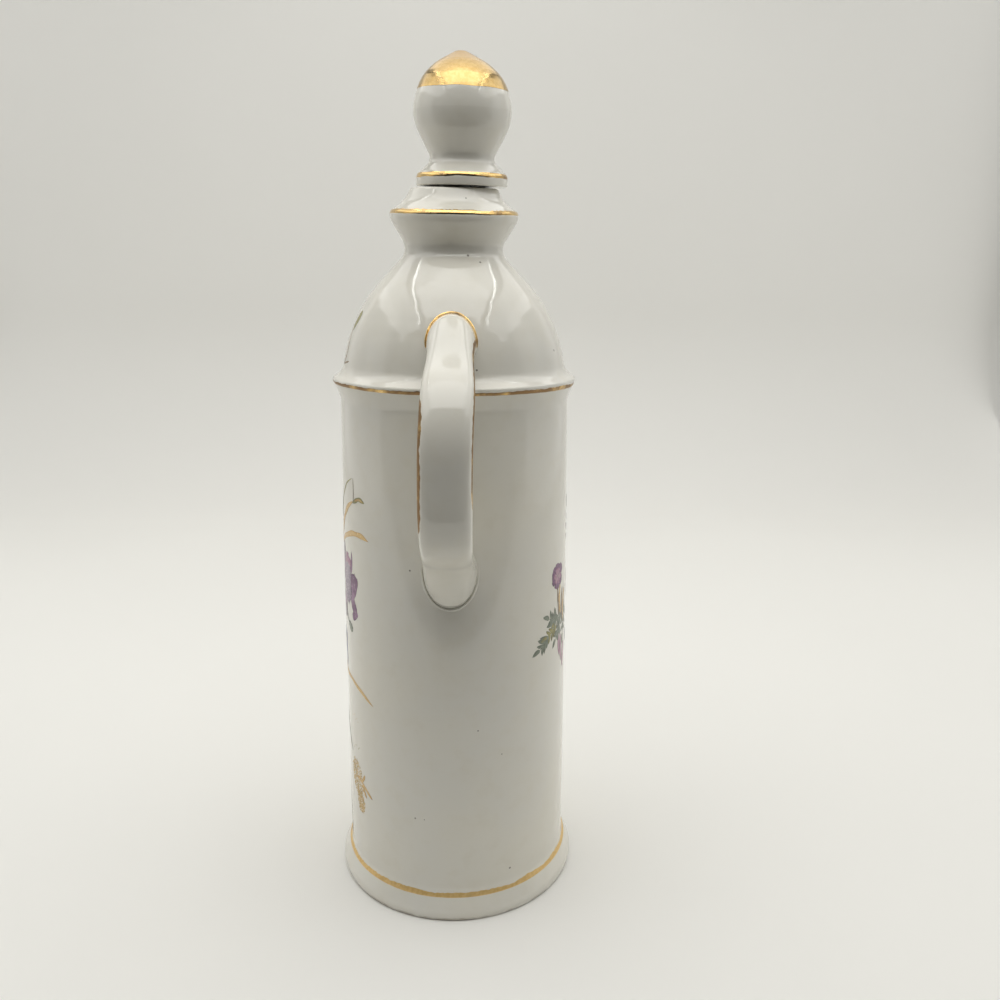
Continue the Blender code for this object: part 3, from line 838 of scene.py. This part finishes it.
def print_sprig(root, tip, leaflets, size, tone, dice):
    """A cut leaf: a stalk with pointed leaflets in pairs and one at its end."""
    root = Vector(root)
    along = Vector(tip) - root
    heading = math.degrees(math.atan2(along.y, along.x))
    print_patch(tone, stroke([root, root + along * 0.5, Vector(tip)], 0.55, dice.uniform(0, 90)), 0, 4, 14)
    for pair in range(leaflets):
        base = root + along * (0.2 + 0.75 * pair / leaflets)
        for side in (-1, 1):
            length = size * dice.uniform(0.75, 1.1) * (1 - 0.35 * pair / leaflets)
            end = polar(base, heading + side * dice.uniform(38, 55), length)
            outline = blade(base, end, length * 0.36, side * 0.06, 0.55, 0.7, 0.12, dice.uniform(0, 90))
            print_patch(tone, outline, 1 + pair % 2, 6, 10)
    end = polar(tip, heading + dice.uniform(-12, 12), size * 0.8)
    print_patch(tone, blade(tip, end, size * 0.34, 0.05, 0.5, 0.7, 0.12, 3), 2, 6, 10)


def print_tuft(centre, size, dice):
    """A blossom of gold stipple: a cloud of gold dots with a few umber and olive ones."""
    specks = []
    while len(specks) < size * 80:
        across = dice.uniform(-1, 1)
        up = dice.uniform(-1, 1)
        if across * across + up * up < 0.75 + 0.3 * noise.noise(Vector((across * 2, up * 2, centre[0]))):
            specks.append((centre[0] + across * size * 0.68 - up * size * 0.12, centre[1] + up * size))
    print_dots("gold", specks[::3] + specks[1::3], 0.24 * MM)
    print_dots("umber", specks[2::6], 0.14 * MM, 1)
    print_dots("olive", specks[5::6], 0.16 * MM, 1)


# The left spray, on the side that the photograph shows at the bottle's left edge.
dice = random.Random(11)
for petal_tone, petal_root, petal_tip, petal_width, petal_ends in (
        ("purple", (-37.8, 98.2), (-35.9, 106.4), 4.7, (0.3, 0.1)),
        ("purple", (-38.6, 99.6), (-35.2, 93.4), 3.4, (0.4, 0.3)),
        ("purple", (-34.4, 94.4), (-37.8, 91.7), 2.8, (0.3, 0.25)),
        ("pink", (-41.8, 106.4), (-40.6, 111.2), 5.6, (0.2, 0.14)),
        ("purple", (-38.3, 106.0), (-37.7, 112.7), 1.2, (0.4, 0.6)),
        ("lilac", (-42.0, 108.6), (-41.4, 96.2), 7.8, (0.16, 0.2)),
        ("purple", (-46.5, 104.0), (-49.0, 114.5), 7.0, (0.6, 0.33)),
        ("purple", (-48.0, 102.0), (-57.5, 106.0), 8.0, (0.6, 0.33)),
        ("purple", (-48.0, 100.0), (-56.0, 94.0), 7.6, (0.6, 0.33)),
        ("purple", (-45.0, 98.0), (-47.5, 90.0), 6.0, (0.6, 0.33))):
    petal_shape = blade(petal_root, petal_tip, petal_width, 0.04, *petal_ends, 0.16, petal_tip[1])
    print_patch(petal_tone, petal_shape, len(petal_tone) % 3, 14, 20)
print_dots("purple", [(-37.0, 92.2)], 1.1 * MM, 4)
heart_specks = [polar((-41.6, 102.5), speck * 137.5, 0.62 * math.sqrt(speck)) for speck in range(40)]
print_dots("lilac", [(across, 102.5 + (up - 102.5) * 1.6) for across, up in heart_specks], 0.22 * MM, 5)
print_flower((-64.5, 110.5), 8.6, ("pink", "lilac", "purple"), 6, dice, 40)
print_flower((-62.5, 86.5), 5.4, ("blue", "blue", "gold"), 5, dice, 10)
print_flower((-74.5, 96.5), 5.8, ("blue", "lilac", "gold"), 5, dice, 55)
print_flower((-50.5, 80.5), 4.6, ("blue", "blue", "gold"), 5, dice, 30)
for sprig_root, sprig_tip, sprig_size in (
        ((-57.0, 93.0), (-57.5, 78.5), 5.2),
        ((-70.0, 104.0), (-80.0, 111.5), 5.2), ((-71.0, 90.0), (-80.0, 82.0), 5.4),
        ((-54.5, 113.0), (-53.0, 124.0), 4.6), ((-64.0, 119.5), (-70.5, 129.5), 4.6)):
    print_sprig(sprig_root, sprig_tip, 4, sprig_size, "green", dice)
for stroke_tone, stroke_points, stroke_width in (
        ("gold", [(-27.2, 118.5), (-30.8, 119.6), (-36.5, 119.2), (-43.0, 116.9), (-51.0, 112.5)], 1.8),
        ("gold", [(-35.3, 129.2), (-39.5, 126.9), (-45.6, 121.2), (-52.5, 112.5)], 1.6),
        ("olive", [(-28.7, 129.7), (-31.5, 130.7), (-35.6, 128.6)], 1.25),
        ("gold", [(-29.2, 129.9), (-31.5, 130.6), (-34.2, 129.4)], 0.55),
        ("green", [(-38.3, 87.2), (-39.8, 88.0), (-41.8, 89.4)], 2.4),
        ("green", [(-40.5, 88.0), (-43.0, 90.2), (-46.0, 94.0)], 0.6),
        ("olive", [(-35.4, 136.2), (-40.0, 134.0), (-45.7, 128.4), (-50.5, 121.0)], 0.42),
        ("umber", [(-34.9, 136.2), (-34.7, 132.5), (-35.1, 129.0)], 0.26),
        ("gold", [(-27.1, 66.1), (-33.0, 68.8), (-40.5, 70.7), (-49.0, 70.6), (-57.5, 74.0)], 1.25),
        ("gold", [(-69.5, 120.0), (-76.5, 124.5), (-84.0, 125.5), (-89.5, 122.5)], 2.1),
        ("gold", [(-60.0, 119.0), (-59.5, 128.0), (-63.5, 137.5)], 1.7),
        ("gold", [(-73.0, 84.5), (-79.5, 75.0), (-88.0, 71.5)], 1.6),
        ("blue", [(-46.6, 84.0), (-47.6, 79.0), (-47.2, 72.4)], 1.3),
        ("green", [(-58.5, 82.0), (-57.0, 68.0), (-60.5, 52.0), (-57.0, 40.0)], 0.5),
        ("green", [(-57.5, 62.0), (-50.0, 52.0), (-42.5, 44.5)], 0.4),
        ("green", [(-60.2, 54.0), (-68.0, 51.5), (-76.5, 45.5)], 0.4),
        ("umber", [(-57.2, 41.0), (-58.0, 37.0), (-60.2, 32.5)], 0.5),
        ("umber", [(-60.0, 50.0), (-52.0, 24.0), (-48.3, 10.8)], 0.5)):
    print_patch(stroke_tone, stroke(stroke_points, stroke_width, stroke_points[0][1]), 2, 6, 40)
print_dots("gold", [(-41.5, 57.6), (-39.6, 58.5), (-37.6, 57.9), (-36.8, 57.0), (-38.6, 57.2)], 0.19 * MM)
print_dots("olive", [(-37.0, 47.6), (-38.4, 48.3), (-39.9, 47.6), (-41.0, 46.6), (-36.4, 48.2)], 0.24 * MM)
print_tuft((-38.6, 37.0), 7.6, dice)
print_tuft((-36.2, 29.4), 4.6, dice)
print_tuft((-60.5, 30.5), 8.0, dice)
print_tuft((-78.0, 44.0), 6.0, dice)
for twig in ([(-35.4, 36.6), (-33.6, 38.4), (-33.0, 40.2)], [(-34.8, 36.8), (-36.8, 37.8), (-38.4, 37.2)],
             [(-35.2, 37.0), (-32.2, 35.4), (-29.0, 33.4)], [(-34.6, 36.2), (-33.4, 34.2), (-32.2, 32.4)]):
    print_patch("gold", stroke(twig, 0.95, twig[0][0]), 3, 5, 14)

# The right spray, of which the photograph shows the near edge.
dice = random.Random(23)
print_flower((39.2, 105.0), 4.3, ("purple", "pink", "lilac"), 6, dice, 25)
print_flower((62.0, 99.0), 10.4, ("pink", "lilac", "purple"), 7, dice, 5)
print_flower((67.0, 116.5), 7.6, ("purple", "lilac", "lilac"), 6, dice, 20)
print_flower((74.5, 89.5), 5.4, ("blue", "blue", "gold"), 5, dice, 0)
print_flower((57.0, 80.0), 5.2, ("blue", "lilac", "gold"), 5, dice, 30)
for sprig_tone, sprig_root, sprig_tip, sprig_size in (
        ("green", (44.5, 91.0), (36.2, 90.4), 4.4), ("green", (40.0, 90.5), (34.0, 92.6), 4.4),
        ("olive", (40.0, 89.0), (32.8, 87.0), 4.0), ("green", (35.0, 87.5), (29.4, 84.0), 4.4),
        ("green", (42.5, 89.0), (38.4, 84.6), 3.8), ("green", (47.0, 95.0), (45.5, 84.0), 4.4),
        ("green", (69.0, 92.0), (84.5, 98.0), 5.2), ("green", (62.0, 86.0), (65.5, 71.5), 5.0),
        ("green", (55.0, 109.5), (53.0, 123.5), 4.8), ("green", (72.0, 108.0), (85.0, 113.0), 4.6)):
    print_sprig(sprig_root, sprig_tip, 3, sprig_size, sprig_tone, dice)
for stroke_tone, stroke_points, stroke_width in (
        ("umber", [(39.5, 101.6), (39.8, 97.5), (40.8, 91.5)], 0.8),
        ("gold", [(41.6, 101.8), (40.9, 97.5), (42.2, 91.5)], 1.1),
        ("umber", [(44.0, 100.0), (43.2, 95.0), (43.6, 89.5)], 0.9),
        ("gold", [(46.2, 99.0), (44.9, 94.0), (45.4, 88.0)], 1.1),
        ("green", [(58.0, 90.0), (55.5, 72.0), (58.5, 56.0), (56.0, 40.0)], 0.5),
        ("green", [(58.0, 58.0), (65.0, 52.5), (71.5, 45.5)], 0.4),
        ("umber", [(56.2, 41.0), (57.0, 37.5), (59.5, 33.5)], 0.5),
        ("gold", [(72.5, 118.0), (80.0, 122.5), (88.0, 121.5)], 2.0),
        ("gold", [(60.0, 118.5), (57.5, 129.0), (60.5, 138.5)], 1.6),
        ("gold", [(64.0, 78.0), (72.0, 68.5), (81.0, 66.0)], 1.4)):
    print_patch(stroke_tone, stroke(stroke_points, stroke_width, stroke_points[0][1]), 2, 6, 40)
for bud_root, bud_tip, bud_width in (
        ((41.3, 85.6), (42.0, 77.6), 1.7),
        ((43.3, 84.5), (43.8, 75.5), 1.4),
        ((46.4, 81.0), (46.0, 72.8), 1.5)):
    print_patch("pink", blade(bud_root, bud_tip, bud_width, 0.04, 0.5, 0.6, 0.1, bud_tip[1]), 2, 6, 14)
print_tuft((60.0, 32.0), 7.6, dice)
print_tuft((72.0, 44.0), 5.5, dice)

# The sprigs on the dome: a bud on a hair-thin stem, with others beside it round the side.
for mirror, buds in ((-1, ((33.0, 184.0), (47.5, 186.0), (61.0, 181.0))),
                     (1, ((49.5, 185.0), (63.0, 181.5)))):
    for across, height in buds:
        neck = (mirror * (across + 5.6), height - 5.4)
        bud = blade((mirror * across, height), neck, 2.1, 0.0, 0.5, 0.6, 0.08, across)
        print_patch("olive", bud, 1, 8, 18)
        stem = [neck, (mirror * (across + 6.8), height - 9.5), (mirror * (across + 7.4), height - 12.5),
                (mirror * (across + 11.6), height - 15.4)]
        print_patch("umber", stroke(stem, 0.42, across), 0, 4, 30)
        hook = [stem[-1], (mirror * (across + 9.2), height - 15.0), (mirror * (across + 4.6), height - 14.2)]
        print_patch("umber", stroke(hook, 0.5, across + 3), 0, 4, 12)

for tone, (light, dark, outline, vein_scale, stipple) in ink_tones.items():
    bmesh.ops.remove_doubles(inked[tone], verts=inked[tone].verts, dist=0.001 * MM)
    metal = 0.3 if tone == "gold" else 0.0
    paint = ink(tone + "_ink", light, dark, outline, vein_scale, stipple, metal)
    finish_piece(inked[tone], tone + "_transfer", paint, "bottle", "glazed_porcelain")


# The stopper: a hollow porcelain ball with a pointed top, a flange that covers the mouth and a hollow
# peg below. Its cap and the edge of its flange are gilded.
stopper_shift = 2.5 * MM
stopper_lean = math.radians(0.75)
stopper_nod = 0.05
stopper_seat = 219.2 * MM
stopper_steps = 144
point_bend = 0.55 * MM
bend_start = 243.2 * MM
bend_length = 12 * MM
peg_reach = 7.0 * MM
stopper_wave = 0.09 * MM
stopper_wave_length = 15 * MM
stopper_outside = {
    "point": (0, 255.5, 0),
    "beside point": (1.2, 255.5, 1.0),
    "crest": (9.35, 251.1, 3.3),
    "brow": (14.15, 244.3, 4.9),
    "chin": (14.15, 236.4, 2.9),
    "waist": (8.75, 226.4, 1.9),
    "flange top": (13.35, 222.3, 1.3),
    "flange bottom": (13.3, 219.15, 0.45),
    "peg root": (5.2, 219.15, 0.15),
    "peg end, outer": (5.2, 204.9, 0.6),
}
stopper_hollow = {
    "peg end, inner": (2.6, 204.9, 0.6),
    "bore top": (2.6, 226.6, 0.9),
    "chin, inner": (11.0, 236.0, 2.2),
    "brow, inner": (11.0, 244.5, 2.6),
    "roof": (2.6, 252.4, 0.9),
    "roof middle": (0, 252.4, 0),
}


def seat_stopper(place):
    """Set the ball and flange askew and bend the point left; the peg stays upright inside the mouth."""
    share = 1.0
    if place.xy.length < peg_reach:
        share = eased(place.z, stopper_seat, stopper_outside["waist"][1] * MM)
    sideways = stopper_shift + (place.z - stopper_seat) * stopper_lean
    sideways -= point_bend * (max(place.z - bend_start, 0) / bend_length) ** 2
    dip = place.y * stopper_nod - place.x * stopper_lean
    return place + Vector((sideways, 0, dip)) * share


stopper_wire = outline_wire(stopper_outside, stopper_hollow)
stopper_line = in_order(stopper_wire, stopper_outside["point"])
stopper_runs = runs_along(stopper_line)


def stopper_uneven(place):
    """How far the stopper's wall lies out of true."""
    return noise.noise(place / stopper_wave_length + Vector((2, 8, 5))) * stopper_wave


turn_wire(stopper_wire, stopper_steps)
for vertex in stopper_wire.verts:
    flat = Vector((vertex.co.x, vertex.co.y, 0))
    if flat.length > 1 * MM:
        vertex.co += flat.normalized() * stopper_uneven(vertex.co)
    vertex.co = seat_stopper(vertex.co)
stopper_glaze = porcelain("stopper_glaze")
finish_piece(stopper_wire, "stopper_ball", stopper_glaze, "stopper", "stopper_porcelain", "stopper_knob",
             sharp=50)


def stopper_run_to(height):
    """The distance along the stopper's outline from its point down to a height."""
    index = min(index for index, place in enumerate(stopper_line) if place.z < height)
    high = stopper_line[index - 1]
    low = stopper_line[index]
    share = (high.z - height) / (high.z - low.z)
    return stopper_runs[index - 1] + (stopper_runs[index] - stopper_runs[index - 1]) * share


def on_stopper(around, run, lift):
    """A point on the stopper's skin, raised along its normal."""
    flat, normal = outline_spot(stopper_line, stopper_runs, run)
    out = outwards(around)
    ground = out * flat.x + Vector((0, 0, flat.z))
    lifted = ground + out * (stopper_uneven(ground) - normal.x * lift) - Vector((0, 0, normal.z * lift))
    return seat_stopper(lifted)


cap_low = stopper_run_to(244.95 * MM)
cap_front_dip = 0.34 * MM
cap_right_dip = 0.1 * MM
cap_brink_share = 0.985


def cap_point(u, v):
    """The gilded cap, from the stopper's point down to a slightly wavering edge."""
    around = 2 * math.pi * u
    edge = cap_low + 0.16 * MM * waver(around, 2, 2.5) + 0.06 * MM * waver(around, 8, 12)
    edge += cap_front_dip * math.cos(around) + cap_right_dip * math.sin(around)
    lift = gold_lift if v < cap_brink_share else -gold_sunk
    return on_stopper(around, edge * min(v / cap_brink_share, 1), lift)


# Painted shade: the cap's gold is darker over all and browns towards its point to dim the lamps' reflections,
# with wear at the point.
cap_gold = gilding("cap_gold", 0.58, 0.9, roughness=0.17, strength=0.74, worn_and_shaded_above=(250 * MM, 256.5 * MM))
cap = moulded_grid(180, 60, cap_point, closed=True)
bmesh.ops.recalc_face_normals(cap, faces=cap.faces)
finish_piece(cap, "cap_gilding", cap_gold, "stopper", "stopper_porcelain")

flange_from = stopper_run_to(222.7 * MM)
flange_to = stopper_run_to(221.3 * MM)


def flange_point(u, v):
    """The gold on the flange's upper edge."""
    around = 2 * math.pi * u
    above = flange_from + 0.12 * MM * waver(around, 4, 3)
    below = flange_to + 0.28 * MM * waver(around, 6, 3.5) + 0.1 * MM * waver(around, 7, 14)
    return on_stopper(around, above + (below - above) * v, lens(v))


flange_line = moulded_grid(480, 8, flange_point, closed=True)
bmesh.ops.recalc_face_normals(flange_line, faces=flange_line.faces)
finish_piece(flange_line, "flange_line", line_gold, "stopper", "stopper_porcelain")


# The cork: a tapered sleeve of natural cork, bored through and glued round the stopper's peg. It grips
# the bottle's mouth, and its skin is open with pores and brown pits.
cork_corners = {
    "bore, upper part": (5.5, 211.9, 0),
    "top, inner": (5.5, 218.1, 0.2),
    "top, outer": (9.0, 218.1, 0.5),
    "bottom, outer": (8.25, 205.7, 0.9),
    "bottom, inner": (5.5, 205.7, 0.2),
    "bore, lower part": (5.5, 211.8, 0),
}
cork_steps = 160
cork_skin = 7 * MM
pore_depth = 0.4 * MM
pore_spacing = 1.3 * MM
cork_wire = outline_wire(cork_corners)
for edge in list(cork_wire.edges):
    bmesh.ops.subdivide_edges(cork_wire, edges=[edge], cuts=2)
turn_wire(cork_wire, cork_steps)
cork_rims = [edge for edge in cork_wire.edges if edge.is_boundary]
bmesh.ops.bridge_loops(cork_wire, edges=cork_rims)
bmesh.ops.recalc_face_normals(cork_wire, faces=cork_wire.faces)
for vertex in cork_wire.verts:
    out = Vector((vertex.co.x, vertex.co.y, 0)).normalized()
    if vertex.co.xy.length > cork_skin:
        pore = noise.noise(vertex.co / pore_spacing) - 0.15
        vertex.co -= out * pore_depth * max(pore, 0)
cork_brown = (0.44, 0.27, 0.13)
cork_tan = (0.60, 0.41, 0.22)
pit_brown = (0.13, 0.065, 0.03)
cork_paint, cork_place, cork_surface = new_finish("natural_cork", Roughness=0.85)
cork_cells = cork_place.add("TexVoronoi", {"feature": "DISTANCE_TO_EDGE"},
                            {"Vector": cork_place, "Scale": 900})
cork_patches = cork_place.grain(300, 5)
cork_pits = cork_place.grain(620, 2).rise(0.6, 0.68)
cork_colour = cork_patches.rise(0.3, 0.7).colour(cork_brown, cork_tan)
cork_colour = (cork_pits * 0.85).colour(cork_colour, pit_brown)
cork_relief = cork_cells.rise(0.0, 0.12) * 0.4 + cork_patches * 0.5 - cork_pits
cork_bump = cork_place.add("Bump", {}, {"Strength": 0.6, "Distance": 0.2 * MM, "Height": cork_relief})
feed(cork_surface, Base_Color=cork_colour, Normal=cork_bump)
finish_piece(cork_wire, "cork", cork_paint, "stopper", "cork", "cork_sleeve")


# The floor and backdrop: one sheet of pale card that hangs over the table's front edge, runs flat under
# the decanter and curves up behind it.
card_half_width = 3.0
card_hang = 0.4
card_edge = -0.22
card_edge_radius = 0.12
card_turn = 0.42
card_turn_radius = 0.16
card_height = 2.2


def card_point(u, v):
    """The card's line: the hanging part, a quarter turn, the floor, a quarter turn, then the wall."""
    edge_length = card_edge_radius * math.pi / 2
    floor_length = card_turn - card_edge
    turn_length = card_turn_radius * math.pi / 2
    distance = v * (card_hang + edge_length + floor_length + turn_length + card_height)
    distance -= card_hang + edge_length
    x = (u * 2 - 1) * card_half_width
    if distance < 0:
        angle = min(-distance / card_edge_radius, math.pi / 2)
        drop = max(-distance - edge_length, 0)
        return Vector((x, card_edge - card_edge_radius * math.sin(angle),
                       card_edge_radius * (math.cos(angle) - 1) - drop))
    if distance < floor_length:
        return Vector((x, card_edge + distance, 0))
    angle = min((distance - floor_length) / card_turn_radius, math.pi / 2)
    rise = max(distance - floor_length - turn_length, 0)
    return Vector((x, card_turn + card_turn_radius * math.sin(angle),
                   card_turn_radius * (1 - math.cos(angle)) + rise))


card_deep = (0.825, 0.815, 0.78)
card_pale = (0.845, 0.835, 0.80)
card_paint, card_place, card_surface = new_finish("pale_card", Roughness=0.85)
feed(card_surface, Base_Color=card_place.grain(3.0, 2).rise(0.3, 0.7).colour(card_deep, card_pale))
card_grid = moulded_grid(8, 400, card_point)
bmesh.ops.recalc_face_normals(card_grid, faces=card_grid.faces)
make_object(card_grid, "card", card_paint)


# The light: a soft panel overhead with a thin bright strip along each of its long sides, and dimmer
# panels behind and beside it. The room is darkest in front, on the camera's side.
lamp_height = 0.62
strip_turn = math.radians(8)
warm_white = (1.0, 0.998, 0.975)
room_colour = (0.95, 0.95, 0.92)


def area_lamp(name, place, size_x, size_y, radiance, turn=(0, 0, 0)):
    """A rectangular lamp of a given brightness, which faces down before it is turned."""
    lamp = bpy.data.lights.new(name, "AREA")
    lamp.shape = "RECTANGLE"
    lamp.size = size_x
    lamp.size_y = size_y
    lamp.energy = radiance * size_x * size_y * math.pi
    lamp.color = warm_white
    holder = bpy.data.objects.new(name, lamp)
    holder.location = place
    holder.rotation_euler = turn
    bpy.context.scene.collection.objects.link(holder)


area_lamp("panel_lamp", (0, -0.18, lamp_height), size_x=0.52, size_y=0.33, radiance=2.4)
area_lamp("back_lamp", (0, 0.275, lamp_height), size_x=0.52, size_y=0.58, radiance=1.35)
for side in (-1, 1):
    area_lamp("strip_lamp", (side * 0.286, -0.02, lamp_height), size_x=0.018, size_y=0.62, radiance=6.8,
              turn=(0, 0, side * strip_turn))
    area_lamp("outer_lamp", (side * 0.5, 0.08, lamp_height), size_x=0.34, size_y=0.96, radiance=1.15)
    area_lamp("side_lamp", (side * 0.5, 0.2, lamp_height / 2), size_x=0.6, size_y=0.7, radiance=0.4,
              turn=(0, side * math.radians(90), 0))
world = bpy.data.worlds.new("room")
bpy.context.scene.world = world
world.use_nodes = True
room = world.node_tree.nodes["Background"]
room.inputs["Color"].default_value = (*room_colour, 1)
room_place = Shade(world.node_tree).add("TexCoord", output="Generated")
room_depth = room_place.add("SeparateXYZ", {}, {0: room_place}, output="Y")
room_seen = room_place.add("LightPath", output="Is Camera Ray")
feed(room, Strength=0.03 + room_depth.rise(-0.75, 0.2) * 0.3 + room_seen * 0.7)


# The camera: close to the handle's side, a little above the decanter's middle and tipped down, with a
# lens about as wide as a phone's, as in the photograph.
camera_distance = 0.269
camera_height = 0.1927
camera_around = math.radians(2.0)
camera_heading = math.radians(1.02)
camera_pitch = math.radians(14.15)
camera_roll = 0.0063
focal_pixels = 870
image_pixels = 1000
sensor_width = 36
camera_data = bpy.data.cameras.new("camera")
camera_data.sensor_width = sensor_width
camera_data.lens = sensor_width * focal_pixels / image_pixels
camera_data.clip_start = 0.01
camera = bpy.data.objects.new("camera", camera_data)
camera.location = (camera_distance * math.sin(camera_around), -camera_distance * math.cos(camera_around),
                   camera_height)
look = Vector((math.sin(camera_heading) * math.cos(camera_pitch),
               math.cos(camera_heading) * math.cos(camera_pitch), -math.sin(camera_pitch)))
camera.rotation_mode = "QUATERNION"
camera.rotation_quaternion = look.to_track_quat("-Z", "Y") @ Quaternion((0, 0, 1), camera_roll)
bpy.context.scene.collection.objects.link(camera)
bpy.context.scene.camera = camera
bpy.context.scene.view_settings.view_transform = "Standard"
